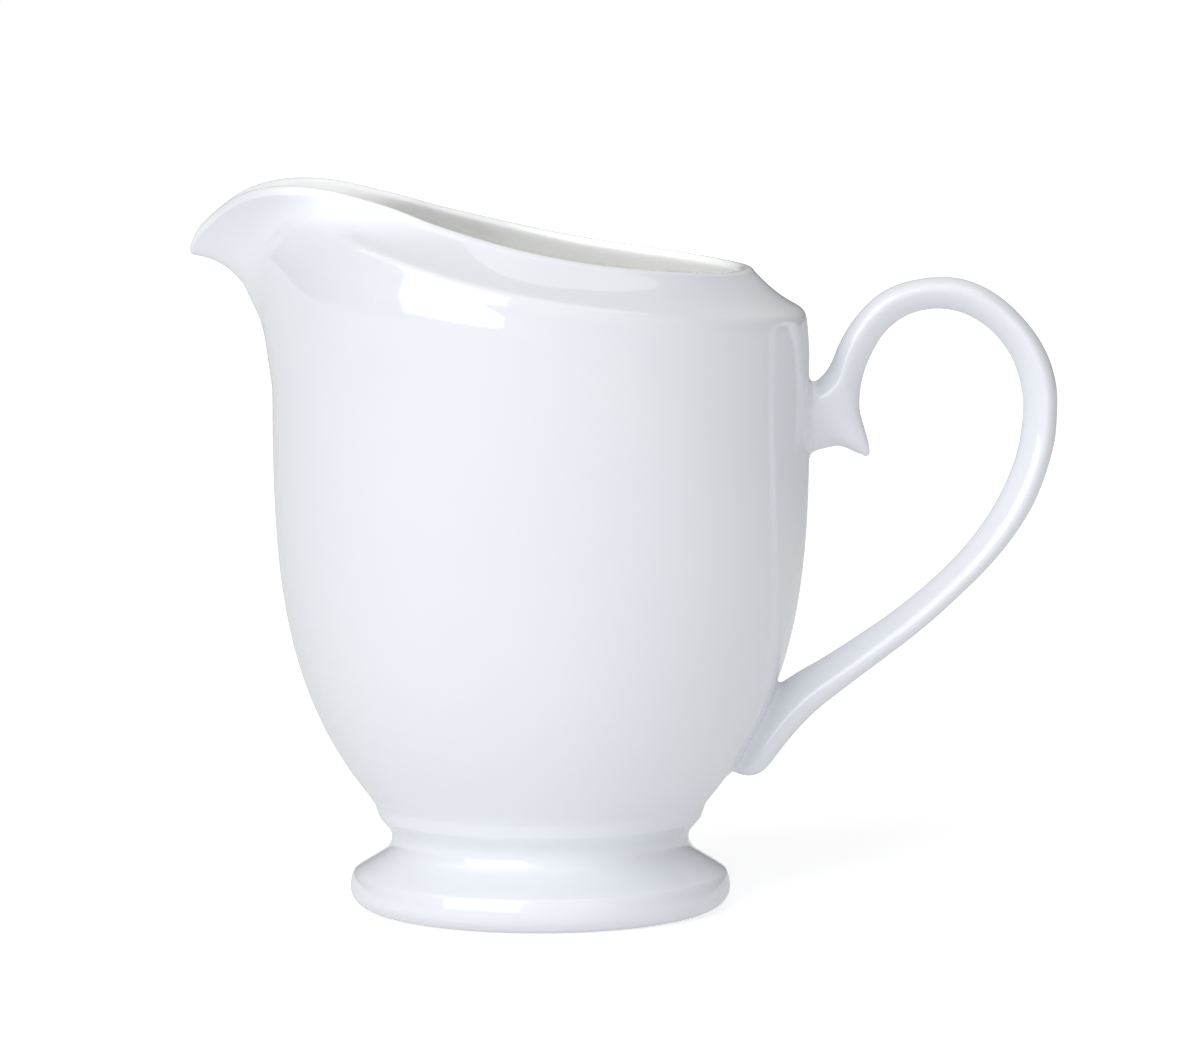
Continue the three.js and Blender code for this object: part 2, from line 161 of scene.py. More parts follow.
def cubic(knots, at, level_ends=True):
    """Curve with continuous curvature through knots [position, values...], read at `at`.

    level_ends makes it level at both ends; otherwise its ends are straight.
    """
    x = knots[:, 0].astype(float)
    y = knots[:, 1:].astype(float)
    count = len(x)
    step = np.diff(x)
    slope = np.diff(y, axis=0) / step[:, None]
    matrix = np.zeros((count, count))
    right = np.zeros_like(y)
    for i in range(1, count - 1):
        matrix[i, i - 1:i + 2] = (step[i - 1], 2 * (step[i - 1] + step[i]), step[i])
        right[i] = 6 * (slope[i] - slope[i - 1])
    matrix[0, 0] = matrix[-1, -1] = 1
    if level_ends:
        matrix[0, :2] = (2 * step[0], step[0])
        matrix[-1, -2:] = (step[-1], 2 * step[-1])
        right[0] = 6 * slope[0]
        right[-1] = -6 * slope[-1]
    bend = np.linalg.solve(matrix, right)
    at = np.atleast_1d(np.asarray(at, float))
    i = np.clip(np.searchsorted(x, at, side="right") - 1, 0, count - 2)
    t = (at - x[i])[:, None]
    u = (x[i + 1] - at)[:, None]
    h = step[i][:, None]
    return (
        (bend[i] * u ** 3 + bend[i + 1] * t ** 3) / (6 * h)
        + (y[i] / h - bend[i] * h / 6) * u
        + (y[i + 1] / h - bend[i + 1] * h / 6) * t
    )


def catmull_rom(rows, parts):
    """Rows of points, smoothly filled in: parts[i] spans between row i and row i + 1."""
    rows = np.asarray(rows)
    padded = np.concatenate([[2 * rows[0] - rows[1]], rows, [2 * rows[-1] - rows[-2]]])
    out = [rows[0]]
    for i, count in enumerate(parts):
        p0, p1, p2, p3 = padded[i:i + 4]
        d1 = np.sqrt(np.linalg.norm(p1 - p0, axis=-1, keepdims=True)) + 1e-9
        d2 = np.sqrt(np.linalg.norm(p2 - p1, axis=-1, keepdims=True)) + 1e-9
        d3 = np.sqrt(np.linalg.norm(p3 - p2, axis=-1, keepdims=True)) + 1e-9
        m1 = ((p1 - p0) / d1 - (p2 - p0) / (d1 + d2) + (p2 - p1) / d2) * d2
        m2 = ((p2 - p1) / d2 - (p3 - p1) / (d2 + d3) + (p3 - p2) / d3) * d2
        for k in range(1, count + 1):
            t = k / count
            out.append(
                (2 * t ** 3 - 3 * t ** 2 + 1) * p1 + (t ** 3 - 2 * t ** 2 + t) * m1
                + (3 * t ** 2 - 2 * t ** 3) * p2 + (t ** 3 - t ** 2) * m2
            )
    return np.array(out)


# ------------------------------------------------------------------ meshes


def make_mesh(name, vertices, faces, levels, **attributes):
    """A smooth-shaded object from millimetre vertices, subdivided `levels` times."""
    points = np.asarray(vertices, float) * MM
    points[:, 0] += AXIS_X
    mesh = bpy.data.meshes.new(name)
    mesh.from_pydata(points.tolist(), [], faces)
    for key, values in attributes.items():
        layer = mesh.attributes.new(key, "FLOAT", "POINT")
        layer.data.foreach_set("value", np.asarray(values, np.float32))
    mesh.update()
    obj = bpy.data.objects.new(name, mesh)
    bpy.context.scene.collection.objects.link(obj)
    fix_outward(mesh)
    if levels:
        modifier = obj.modifiers.new("smooth", "SUBSURF")
        modifier.levels = modifier.render_levels = levels
        bpy.context.view_layer.update()
        evaluated = obj.evaluated_get(bpy.context.evaluated_depsgraph_get())
        fine = bpy.data.meshes.new_from_object(evaluated)
        obj.modifiers.clear()
        obj.data = fine
        fine.name = name
        bpy.data.meshes.remove(mesh)
    obj.data.shade_smooth()
    return obj


def fix_outward(mesh):
    """Turns a closed mesh's faces to point out."""
    mesh.calc_loop_triangles()
    volume = 0.0
    for tri in mesh.loop_triangles:
        a, b, c = (mesh.vertices[i].co for i in tri.vertices)
        volume += a.dot(b.cross(c))
    if volume < 0:
        mesh.flip_normals()


def ring_faces(rings, sides, looped):
    """Quads between neighbouring rings, and a fan at each end unless the rings loop round."""
    faces = []
    for i in range(rings if looped else rings - 1):
        a = i * sides
        b = ((i + 1) % rings) * sides
        for j in range(sides):
            k = (j + 1) % sides
            faces.append((a + j, b + j, b + k, a + k))
    if not looped:
        start = rings * sides
        end = start + 1
        last = (rings - 1) * sides
        for j in range(sides):
            k = (j + 1) % sides
            faces.append((start, j, k))
            faces.append((end, last + k, last + j))
    return faces


def ring_solid(name, rings, levels, looped=False, **attributes):
    rings = np.asarray(rings, float)
    count, sides = rings.shape[:2]
    vertices = rings.reshape(-1, 3)
    attributes = {key: np.asarray(v, float).ravel() for key, v in attributes.items()}
    if not looped:
        vertices = np.vstack([vertices, rings[0].mean(0), rings[-1].mean(0)])
        attributes = {
            key: np.append(v, [v[:sides].mean(), v[-sides:].mean()])
            for key, v in attributes.items()
        }
    return make_mesh(name, vertices, ring_faces(count, sides, looped), levels, **attributes)


def through(rings):
    """Control rings whose subdivided surface runs through `rings` in its turns round the axis."""
    return rings - (np.roll(rings, 1, 1) + np.roll(rings, -1, 1) - 2 * rings) / 6


def through_rows(rings, first, last):
    """The same along the rings, for the ones from `first` to `last`."""
    bend = rings[first - 1:last] + rings[first + 1:last + 2] - 2 * rings[first:last + 1]
    out = rings.copy()
    out[first:last + 1] -= bend / 6
    return out


def waist(heights):
    """[radius, height] points of the waist."""
    return [(r, z) for r, z in zip(cubic(WAIST, heights, level_ends=False)[:, 0], heights)]


def turned(profile, sides):
    """Rings of a solid of revolution from [radius, height] points."""
    angle = np.linspace(0, 2 * np.pi, sides, endpoint=False)
    return np.array([
        np.stack([r * np.cos(angle), r * np.sin(angle), np.full(sides, z)], 1)
        for r, z in profile
    ])


# ------------------------------------------------------------------ body


def bowl_radius(angle, z):
    depth = np.maximum(0, (BOWL_WIDEST_Z - z) / BOWL_DEPTH)
    radius = BOWL_RADIUS * (1 - depth ** BOWL_POWERS[0]) ** (1 / BOWL_POWERS[1])
    swell = np.sin(np.pi * (z - FULLER_FROM) / (FULLER_TO - FULLER_FROM))
    return radius + FULLER_MOST * swell * (1 + np.cos(angle)) / 2


def bowl_ring(angle, z, offset=0.0):
    """A ring of the bowl, moved `offset` outward square to its surface."""
    slope = (bowl_radius(angle, z + 0.1) - bowl_radius(angle, z - 0.1)) / 0.2
    length = np.hypot(1, slope)
    radius = bowl_radius(angle, z) + offset / length
    return cylinder_ring(angle, radius, z - offset * slope / length)


def cylinder_ring(angle, radius, z):
    return np.stack([radius * np.cos(angle), radius * np.sin(angle), z + 0 * angle], -1)


def wall_top(angle):
    """Where the bowl's own curve ends: higher near the handle, lower under the spout's flare."""
    return WALL_TOP_Z + WALL_TOP_RISE * np.cos(angle / 2) ** 4


class Rim:
    """The knots of the upper body, read at a set of angles (radians, -pi to pi)."""

    def __init__(self, angle):
        self.angle = angle
        turn = np.degrees(np.abs(angle))
        self.crest = cylinder_ring(angle, *cubic(LIP_CREST, turn).T)
        self.edge_radius, self.edge_z = cubic(SHOULDER, turn).T
        self.under_2 = cubic(WALL_UNDER_2, turn)[:, 0]
        self.under_6 = cubic(WALL_UNDER_6, turn)[:, 0]
        self.lean = np.radians(cubic(LIP_LEAN, turn)[:, 0])
        self.sag = cubic(SHOULDER_SAG, turn)[:, 0]
        self.tight = 1 - np.interp(turn, *EDGE_SOFTNESS.T)
        along = np.roll(self.crest, -1, 0) - np.roll(self.crest, 1, 0)
        out = np.stack([along[:, 1], -along[:, 0], np.zeros(len(angle))], 1)
        self.out = out / np.linalg.norm(out, axis=1, keepdims=True)
        self.radial = cylinder_ring(angle, 1, 0)

    def lip(self, out, down):
        """A ring of the rolled rim: `out` to the outside and `down` from the crest."""
        sideways = out * np.cos(self.lean) - down * np.sin(self.lean)
        ring = self.crest + sideways[:, None] * self.out
        ring[:, 2] -= out * np.sin(self.lean) + down * np.cos(self.lean)
        return ring

    def wall(self):
        """Rings of the wall, from under the spout's flare up to the shoulder's edge."""
        return [
            bowl_ring(self.angle, wall_top(self.angle)),
            cylinder_ring(self.angle, self.under_6, self.edge_z - 6),
            cylinder_ring(self.angle, self.under_2, self.edge_z - 2.2),
        ]

    def edge(self):
        return cylinder_ring(self.angle, self.edge_radius, self.edge_z)

    def band(self, stations):
        """Rings of the sloped, slightly hollow shoulder, at shares of its width."""
        edge = self.edge()
        chord = self.lip(LIP_HALF, 1.1) - edge
        run = (chord * self.radial).sum(1)
        rise = chord[:, 2]
        sag = self.sag / np.hypot(rise, run)
        hollow = self.radial * (-rise * sag)[:, None]
        hollow[:, 2] += run * sag
        return [edge + chord * t + hollow * 4 * t * (1 - t) for t in stations]


def row_normals(rows):
    """Unit normals of a grid of rings, by differences along and around it."""
    rows = np.asarray(rows)
    around = np.roll(rows, -1, 1) - np.roll(rows, 1, 1)
    normal = np.cross(around, np.gradient(rows, axis=0))
    return normal / np.linalg.norm(normal, axis=2, keepdims=True)


def relaxed(rings, turns):
    """Rings evened out round and along, with the first and the last held."""
    for _ in range(turns):
        beside = np.roll(rings, 1, 1) + np.roll(rings, -1, 1)
        out = rings.copy()
        out[1:-1] = (4 * rings[1:-1] + rings[:-2] + rings[2:] + beside[1:-1]) / 8
        rings = out
    return rings


def body_angles():
    """Angles round the jug, closer together at the spout."""
    s = 2 * np.arange(BODY_SIDES) / BODY_SIDES - 1
    return np.pi * s + SPOUT_CROWDING * np.sin(np.pi * s)


def bowl_heights(angle):
    """Heights of the bowl's rings, closer together low down."""
    base = BOWL_BASE_Z + COLLAR_TO_BOWL
    shares = np.linspace(0, 1, BOWL_RINGS)
    return [base + (wall_top(angle) - base) * share ** RING_CROWDING for share in shares]


def lower_rings(angle):
    """Rings from the middle of the underside out, and up over the neck and the collar."""
    underside = [(r, WAIST_Z + SLIP_HALF) for r in UNDERSIDE_RADII]
    neck = waist(np.arange(*BODY_NECK, NECK_STEP))
    return [cylinder_ring(angle, r, z) for r, z in underside + neck + COLLAR]


def outer_wall(rim):
    """Rings up the wall, over the shoulder's edge and up its slope. The edge is crisp."""
    edge = rim.edge()
    wall = rim.wall()
    band = rim.band(BAND_SHARES)
    tight = rim.tight[:, None]
    below = edge + (wall[-1] - edge) * (0.42 - 0.06 * tight) + rim.radial * 0.22 * tight
    above = edge + (band[0] - edge) * (0.24 - 0.06 * tight)
    above[:, 2] += 0.12 * rim.tight
    return catmull_rom([*wall, below, edge, above, *band], (4, 3, 1, 1, 1, 2, 2, 2))


def rolled_lip(rim):
    turn = np.radians(np.linspace(*LIP_ARC, LIP_RINGS))
    return [rim.lip(LIP_ROUND * math.cos(a), LIP_DROP - LIP_ROUND * math.sin(a)) for a in turn]


def inner_wall(rim):
    """Rings down the inside, a wall's thickness in from an outside without the crisp edge."""
    soft = catmull_rom([*rim.wall(), rim.edge(), *rim.band(BAND_SHARES)], (4, 3, 3, 2, 2, 2))
    inside = (soft - WALL * row_normals(soft))[1:-2][::-1]
    even = relaxed(inside, INSIDE_EVENING)
    return inside + (even - inside) * (1 - rim.tight)[None, :, None]


def build_body():
    angle = body_angles()
    rim = Rim(angle)
    heights = bowl_heights(angle)
    lower = lower_rings(angle)
    bowl = [bowl_ring(angle, z) for z in heights]
    outside = outer_wall(rim)
    lip = rolled_lip(rim)
    inside_bowl = [bowl_ring(angle, z, -WALL) for z in heights[5:][::-1]]
    floor = [cylinder_ring(angle, r, z) for r, z in FLOOR]
    rings = np.array([*lower, *bowl[:-1], *outside, *lip, *inner_wall(rim), *inside_bowl, *floor])
    rings = through(through_rows(rings, len(UNDERSIDE_RADII) + 1, len(lower) + len(bowl) + 5))

    wall_at = len(lower) + len(bowl) - 1
    lip_at = wall_at + len(outside) + len(lip) // 2
    edge_at = wall_at + 9
    index = np.arange(len(rings))
    thin = np.exp(-((index - lip_at) / 2.0) ** 2)[:, None] * np.ones(BODY_SIDES)
    thin += np.exp(-((index - edge_at) / 1.1) ** 2)[:, None] * rim.tight[None, :] * 0.8
    # marks the inside, which the glaze paints lighter and warmer as painted light
    inner = np.clip((index - lip_at) / 4.0, 0, 1)[:, None] * np.ones(BODY_SIDES)
    return ring_solid("jug_body_glazed", rings, 2, thin=np.minimum(thin, 1), inner=inner)


# ------------------------------------------------------------------ foot and its slip ring


def build_foot():
    top = [(21.1, WAIST_Z - SLIP_HALF), (18.4, WAIST_Z - SLIP_HALF)]
    neck = waist(np.arange(*FOOT_NECK, NECK_STEP))
    profile = FOOT_OUTSIDE + neck + top + FOOT_INSIDE
    rings = turned(profile, FOOT_SIDES)
    rings = through(through_rows(rings, 5, len(FOOT_OUTSIDE) + len(neck) - 2))
    index = np.arange(len(profile))
    thin = np.exp(-((index - FOOT_EDGE_AT) / 1.2) ** 2)[:, None] * np.ones(FOOT_SIDES) * 0.6
    return ring_solid("pedestal_foot_glazed", rings, 2, looped=True, thin=thin, inner=0 * thin)


def build_foot_slip():
    """The slip squeezed out round the waist: its outside carries on the curve of the waist."""
    heights = WAIST_Z + 1.25 * SLIP_REACH * np.linspace(-1, 1, 11)
    proud = SLIP_PROUD * (1 - ((heights - WAIST_Z) / SLIP_REACH) ** 2)
    outside = [(r + more, z) for (r, z), more in zip(waist(heights), proud)]
    inside = [
        (21.2, WAIST_Z + 1.5), (20.4, WAIST_Z + 1.1), (19.2, WAIST_Z + 0.7), (18.0, WAIST_Z + 0.35),
        (17.8, WAIST_Z), (18.0, WAIST_Z - 0.45), (19.2, WAIST_Z - 0.9), (20.4, WAIST_Z - 1.2),
        (21.2, WAIST_Z - 1.5),
    ]
    rings = turned(outside + inside, FOOT_SIDES)
    rings = through(through_rows(rings, 1, len(outside) - 2))
    zero = np.zeros(rings.shape[:2])
    return ring_solid("foot_slip_fillet", rings, 2, looped=True, thin=zero, inner=zero)


# ------------------------------------------------------------------ handle

RIDGE_AT = 0.3             # the handle is deepest this share of the way from middle to outside
RIDGE_POWER = 1.65         # below 2, the section has a soft ridge where it is deepest
THORN_BLEND = 2.6
BURIED = 0.8               # how far the handle reaches into the wall
FILLET = 2.0
FILLET_SINK = 0.007        # the fillet ends this far under the surfaces that it joins
FILLET_REACH = 1.25 * FILLET
SLIP_SKIN = 0.35           # how far the slip reaches under those surfaces
THORN_REACH = 50           # the thorn is all on this side, by its x
HANDLE_CELL = 0.5
SLIP_CELL = 0.24
HANDLE_BOX = ((24, -5.6, 16.2), (76, 5.6, 93))
UPPER_SLIP_BOX = ((36, -6.6, 61.5), (42.5, 6.6, 81))
LOWER_SLIP_BOX = ((23, -6.4, 15), (42, 6.4, 38))
TOO_FAR = 1e8
OUTSIDE = 9.0


def sweep_loop():
    """The loop's middles, half vectors (inside to outside) and depths, as knots along it."""
    outer = HANDLE_LOOP[:, 0:2]
    inner = HANDLE_LOOP[:, 2:4]
    return np.column_stack([
        np.arange(len(HANDLE_LOOP)), (outer + inner) / 2, (outer - inner) / 2, HANDLE_LOOP[:, 4] / 2,
    ])


def sweep_thorn():
    x, z, width, depth = THORN.T
    along = np.gradient(np.column_stack([x, z]), axis=0)
    along /= np.linalg.norm(along, axis=1, keepdims=True)
    across = np.column_stack([-along[:, 1], along[:, 0]]) * width[:, None]
    return np.column_stack([np.arange(len(THORN)), x, z, across, depth])


LOOP_KNOTS = sweep_loop()
THORN_KNOTS = sweep_thorn()


def in_section(knots, at, where):
    """Where points [x, z] lie in the bar's section at `at`: ahead, beside, and its half sizes."""
    values = cubic(knots, at, level_ends=False)
    middle, half, depth = values[:, 0:2], values[:, 2:4], values[:, 4]
    width = np.linalg.norm(half, axis=1)
    across = half / width[:, None]
    along = np.column_stack([across[:, 1], -across[:, 0]])
    away = where - middle
    return (away * along).sum(-1), (away * across).sum(-1), width, depth


def nearest_section(knots, where):
    """The nearest section that holds each point [x, z], and whether any does."""
    fine = np.linspace(0, len(knots) - 1, 2 * len(knots) + 3)
    values = cubic(knots, fine, level_ends=False)
    across = values[:, 2:4] / np.linalg.norm(values[:, 2:4], axis=1, keepdims=True)
    away_x = where[:, 0:1] - values[None, :, 0]
    away_z = where[:, 1:2] - values[None, :, 1]
    ahead = away_x * across[:, 1] - away_z * across[:, 0]
    distance = away_x ** 2 + away_z ** 2
    crossing = (ahead[:, :-1] >= 0) & (ahead[:, 1:] < 0)
    cost = np.where(crossing, distance[:, :-1], TOO_FAR)
    pick = cost.argmin(1)
    found = cost[np.arange(len(pick)), pick] < TOO_FAR
    nearest_end = np.where(distance[:, 0] < distance[:, -1], 0, len(fine) - 2)
    pick = np.where(found, pick, nearest_end)
    low, high = fine[pick].copy(), fine[pick + 1].copy()
    for _ in range(4):
        s_low = in_section(knots, low, where)[0]
        s_high = in_section(knots, high, where)[0]
        share = np.clip(s_low / np.where(np.abs(s_low - s_high) < 1e-12, 1, s_low - s_high), 0, 1)
        middle = low + share * (high - low)
        s_mid = in_section(knots, middle, where)[0]
        low, high = np.where(s_mid >= 0, middle, low), np.where(s_mid >= 0, high, middle)
    return np.where(found, middle, np.where(nearest_end == 0, fine[0], fine[-1])), found


def swept_field(knots, ridge, power, points):
    """Roughly the distance from points to a bar swept along knots, below 0 inside it."""
    flat = points[:, [0, 2]]
    at, found = nearest_section(knots, flat)
    ahead, beside, width, depth = in_section(knots, at, flat)
    ahead = np.where(found, 0, ahead)
    u = np.clip(beside / width, -2, 2)
    warped = (u - ridge) / (1 - ridge * u)
    stretch = (1 - ridge ** 2) / (1 - ridge * u) ** 2
    v = points[:, 1] / depth
    end = ahead / width
    total = np.abs(warped) ** power + np.abs(v) ** power + np.abs(end) ** power
    size = total ** (1 / power)
    slope_u = np.abs(warped / size) ** (power - 1) * stretch / width
    slope_v = np.abs(v / size) ** (power - 1) / depth
    slope_end = np.abs(end / size) ** (power - 1) / width
    return (size - 1) / np.sqrt(slope_u ** 2 + slope_v ** 2 + slope_end ** 2 + 1e-9)


def blended(a, b, width):
    """Union of two fields with a rounded inner corner."""
    near = np.maximum(width - np.abs(a - b), 0) / width
    return np.minimum(a, b) - width * near ** 3 / 6


def bar_field(points):
    loop = swept_field(LOOP_KNOTS, RIDGE_AT, RIDGE_POWER, points)
    out = loop.copy()
    near = points[:, 0] < THORN_REACH
    thorn = swept_field(THORN_KNOTS, 0.0, 2.0, points[near])
    out[near] = blended(loop[near], thorn, THORN_BLEND)
    return out


def bowl_field(points):
    x, y, z = points.T
    angle = np.arctan2(y, x)
    radius = bowl_radius(angle, z)
    slope = (bowl_radius(angle, z + 0.1) - bowl_radius(angle, z - 0.1)) / 0.2
    return (np.hypot(x, y) - radius) / np.hypot(1, slope)


def handle_field(points):
    return np.maximum(bar_field(points), -(bowl_field(points) + BURIED))


def slip_field(points):
    """The fillet of slip round a joint: a ring that fills the corner of handle and bowl."""
    bar = bar_field(points)
    bowl = bowl_field(points)
    near = np.maximum(FILLET - np.abs(bar - bowl), 0) / FILLET
    fillet = np.minimum(bar, bowl) - FILLET * near ** 3 / 6 + FILLET_SINK * (1 - near)
    shell = np.maximum(-SLIP_SKIN - bar, -SLIP_SKIN - bowl)
    reach = np.maximum(bar, bowl) - FILLET_REACH
    return np.maximum(np.maximum(fillet, shell), reach)


def chunked(field, points, size=40000):
    return np.concatenate([field(points[i:i + size]) for i in range(0, len(points), size)])


def field_gradient(field, points, here, step=0.005):
    shifts = step * np.eye(3)
    parts = [chunked(field, points + shift) - here for shift in shifts]
    return np.stack(parts, 1) / step


def corners_inside(inside):
    """How many of each cell's corners are inside."""
    nx, ny, nz = (count - 1 for count in inside.shape)
    return sum(
        inside[i:nx + i, j:ny + j, k:nz + k].astype(int)
        for i in (0, 1) for j in (0, 1) for k in (0, 1)
    )


def net_quads(inside, number):
    """A quad for each grid line that the surface cuts, between the four cells round it."""
    quads = []
    for axis in range(3):
        order = [axis, (axis + 1) % 3, (axis + 2) % 3]
        ins = inside.transpose(order)
        num = number.transpose(order)
        change = ins[:-1, 1:-1, 1:-1] != ins[1:, 1:-1, 1:-1]
        i, j, k = np.nonzero(change)
        quad = np.stack([num[i, j, k], num[i, j + 1, k], num[i, j + 1, k + 1], num[i, j, k + 1]], 1)
        flip = ~ins[:-1, 1:-1, 1:-1][change]
        quad[flip] = quad[flip][:, ::-1]
        quads.append(quad)
    return np.concatenate(quads)


def surface_net(field, low, high, cell, close):
    """Vertices and quads of the surface where a field is 0.

    `close` is a cheap test of which grid points are near enough to need the field.
    """
    axes = [np.arange(a, b + cell, cell) for a, b in zip(low, high)]
    grid = np.stack(np.meshgrid(*axes, indexing="ij"), -1)
    flat = grid.reshape(-1, 3)
    values = np.full(len(flat), OUTSIDE)
    near = close(flat)
    values[near] = chunked(field, flat[near])
    inside = values.reshape(grid.shape[:3]) < 0
    count = corners_inside(inside)
    mixed = (count > 0) & (count < 8)
    number = np.full(mixed.shape, -1)
    number[mixed] = np.arange(mixed.sum())
    vertices = grid[:-1, :-1, :-1][mixed] + cell / 2
    quads = net_quads(inside, number)
    return settle(field, vertices, quads, cell), quads


def settle(field, vertices, quads, cell):
    """Moves vertices onto the field's surface and evens out their spacing."""
    edges = np.concatenate([quads[:, [0, 1]], quads[:, [1, 2]], quads[:, [2, 3]], quads[:, [3, 0]]])
    edges = np.concatenate([edges, edges[:, ::-1]])
    degree = np.bincount(edges[:, 0], minlength=len(vertices))[:, None]
    for turn in range(6):
        if 0 < turn < 5:
            total = np.zeros_like(vertices)
            np.add.at(total, edges[:, 0], vertices[edges[:, 1]])
            vertices = 0.4 * vertices + 0.6 * total / degree
        here = chunked(field, vertices)
        slope = field_gradient(field, vertices, here)
        steep = np.maximum((slope ** 2).sum(1), 0.05)
        move = (here / steep)[:, None] * slope
        length = np.linalg.norm(move, axis=1, keepdims=True)
        vertices = vertices - move * np.minimum(1, 0.6 * cell / np.maximum(length, 1e-9))
    return vertices


def near_loop(points, margin=5.2):
    values = cubic(LOOP_KNOTS, np.linspace(0, len(LOOP_KNOTS) - 1, 60), level_ends=False)
    centres = np.concatenate([values[:, 0:2], THORN[:, 0:2]])
    out = np.zeros(len(points), bool)
    for start in range(0, len(points), 100000):
        flat = points[start:start + 100000][:, [0, 2]]
        distance = ((flat[:, None] - centres[None]) ** 2).sum(-1).min(1)
        out[start:start + 100000] = distance < margin ** 2
    return out


def near_joint(points):
    """Points within reach of a fillet: close to the bowl's surface and to the handle."""
    out = np.abs(bowl_field(points)) < FILLET_REACH + 0.5
    out[out] = near_loop(points[out], 9.0)
    return out


def onto_field(obj, field, turns=2):
    """Moves a finished object's vertices along the field's slope onto its surface."""
    flat = np.zeros(3 * len(obj.data.vertices))
    obj.data.vertices.foreach_get("co", flat)
    points = (flat.reshape(-1, 3) - (AXIS_X, 0, 0)) / MM
    for _ in range(turns):
        here = chunked(field, points)
        slope = field_gradient(field, points, here)
        steep = np.maximum((slope ** 2).sum(1), 0.3)
        points = points - np.clip(here / steep, -0.05, 0.05)[:, None] * slope
    flat = points * MM + (AXIS_X, 0, 0)
    obj.data.vertices.foreach_set("co", flat.ravel())
    obj.data.update()


def build_handle():
    vertices, quads = surface_net(handle_field, *HANDLE_BOX, HANDLE_CELL, near_loop)
    zero = np.zeros(len(vertices))
    obj = make_mesh("handle_glazed", vertices, quads.tolist(), 1, thin=zero, inner=zero)
    onto_field(obj, handle_field)
    return obj


def build_slip(name, box):
    vertices, quads = surface_net(slip_field, *box, SLIP_CELL, near_joint)
    zero = np.zeros(len(vertices))
    return make_mesh(name, vertices, quads.tolist(), 0, thin=zero, inner=zero)


# ------------------------------------------------------------------ materials

GLAZE_COLOUR = (0.825, 0.847, 0.892)
SLIP_COLOUR = (0.82, 0.843, 0.889)
# painted light: the inside is lighter and warmer than the outside, standing in for light that comes
# through the thin wall
INSIDE_PAINTED_LIGHT_COLOUR = (0.98, 0.978, 0.965)
THIN_COLOUR, THIN_SHARE = (0.88, 0.885, 0.89), 0.5
CLAY_COLOUR = (0.86, 0.845, 0.81)
CLAY_DARK = (0.78, 0.76, 0.72)
CLAY_ROUGH = 0.7
SPECK_COLOUR = (0.3, 0.29, 0.28)
CLOUD_TINT, CLOUD_GRAIN = (0.985, 0.99, 0.995), 0.03
GLOSS_GRAIN, ROUGHNESS = 0.012, (0.03, 0.06)
NOISE_RANGE, GRIT_RANGE = (0.3, 0.7), (0.35, 0.65)
GLAZE_IOR = 1.55
BARE_BELOW, GLAZED_ABOVE, GRIT_GRAIN = 0.05, 0.3, 0.0006
SWELL_GRAIN, SWELL_HEIGHT = 0.018, 0.00003
PEEL_GRAIN, PEEL_HEIGHT = 0.0012, 0.0000008
# [place in mm, radius in mm] of the specks on the front of the bowl.
SPECKS = [((3.9, -37.4, 46.4), 0.2), ((12.4, -34.0, 40.9), 0.16)]


def new_material(name):
    material = bpy.data.materials.new(name)
    material.use_nodes = True
    tree = material.node_tree
    return material, tree, tree.nodes["Principled BSDF"]


def math_node(tree, operation, first, second):
    """A Math node on a socket or number and another; gives its output socket."""
    node = tree.nodes.new("ShaderNodeMath")
    node.operation = operation
    for socket, value in zip(node.inputs, (first, second)):
        if isinstance(value, bpy.types.NodeSocket):
            tree.links.new(value, socket)
        else:
            socket.default_value = value
    return node.outputs[0]


def attribute_node(tree, name):
    node = tree.nodes.new("ShaderNodeAttribute")
    node.attribute_name = name
    return node.outputs["Fac"]


def place_node(tree):
    return tree.nodes.new("ShaderNodeTexCoord").outputs["Object"]


def noise_node(tree, place, grain, detail=2.0):
    """Noise whose lumps are about `grain` metres across."""
    node = tree.nodes.new("ShaderNodeTexNoise")
    node.inputs["Scale"].default_value = 1 / grain
    node.inputs["Detail"].default_value = detail
    tree.links.new(place, node.inputs["Vector"])
    return node.outputs["Fac"]


def range_node(tree, value, start, end, low, high):
    node = tree.nodes.new("ShaderNodeMapRange")
    node.interpolation_type = "SMOOTHSTEP"
    for key, number in (("From Min", start), ("From Max", end), ("To Min", low), ("To Max", high)):
        node.inputs[key].default_value = number
    tree.links.new(value, node.inputs["Value"])
    return node.outputs["Result"]


def mix_node(tree, share, first, second):
    """Two colours mixed by a socket; each is a socket or a colour."""
    node = tree.nodes.new("ShaderNodeMix")
    node.data_type = "RGBA"
    tree.links.new(share, node.inputs["Factor"])
    for key, colour in (("A", first), ("B", second)):
        if isinstance(colour, bpy.types.NodeSocket):
            tree.links.new(colour, node.inputs[key])
        else:
            node.inputs[key].default_value = (*colour, 1)
    return node.outputs["Result"]


def bump_node(tree, height, distance, under=None):
    node = tree.nodes.new("ShaderNodeBump")
    node.inputs["Distance"].default_value = distance
    tree.links.new(height, node.inputs["Height"])
    if under is not None:
        tree.links.new(under, node.inputs["Normal"])
    return node.outputs["Normal"]


def speck_share(tree, place):
    """1 inside the few iron specks of the clay, 0 elsewhere."""
    total = None
    for spot, size in SPECKS:
        gap = tree.nodes.new("ShaderNodeVectorMath")
        gap.operation = "DISTANCE"
        x, y, z = spot
        gap.inputs[1].default_value = (AXIS_X + x * MM, y * MM, z * MM)
        tree.links.new(place, gap.inputs[0])
        near = range_node(tree, gap.outputs["Value"], 0.5 * size * MM, size * MM, 1.0, 0.0)
        total = near if total is None else math_node(tree, "MAXIMUM", total, near)
    return total


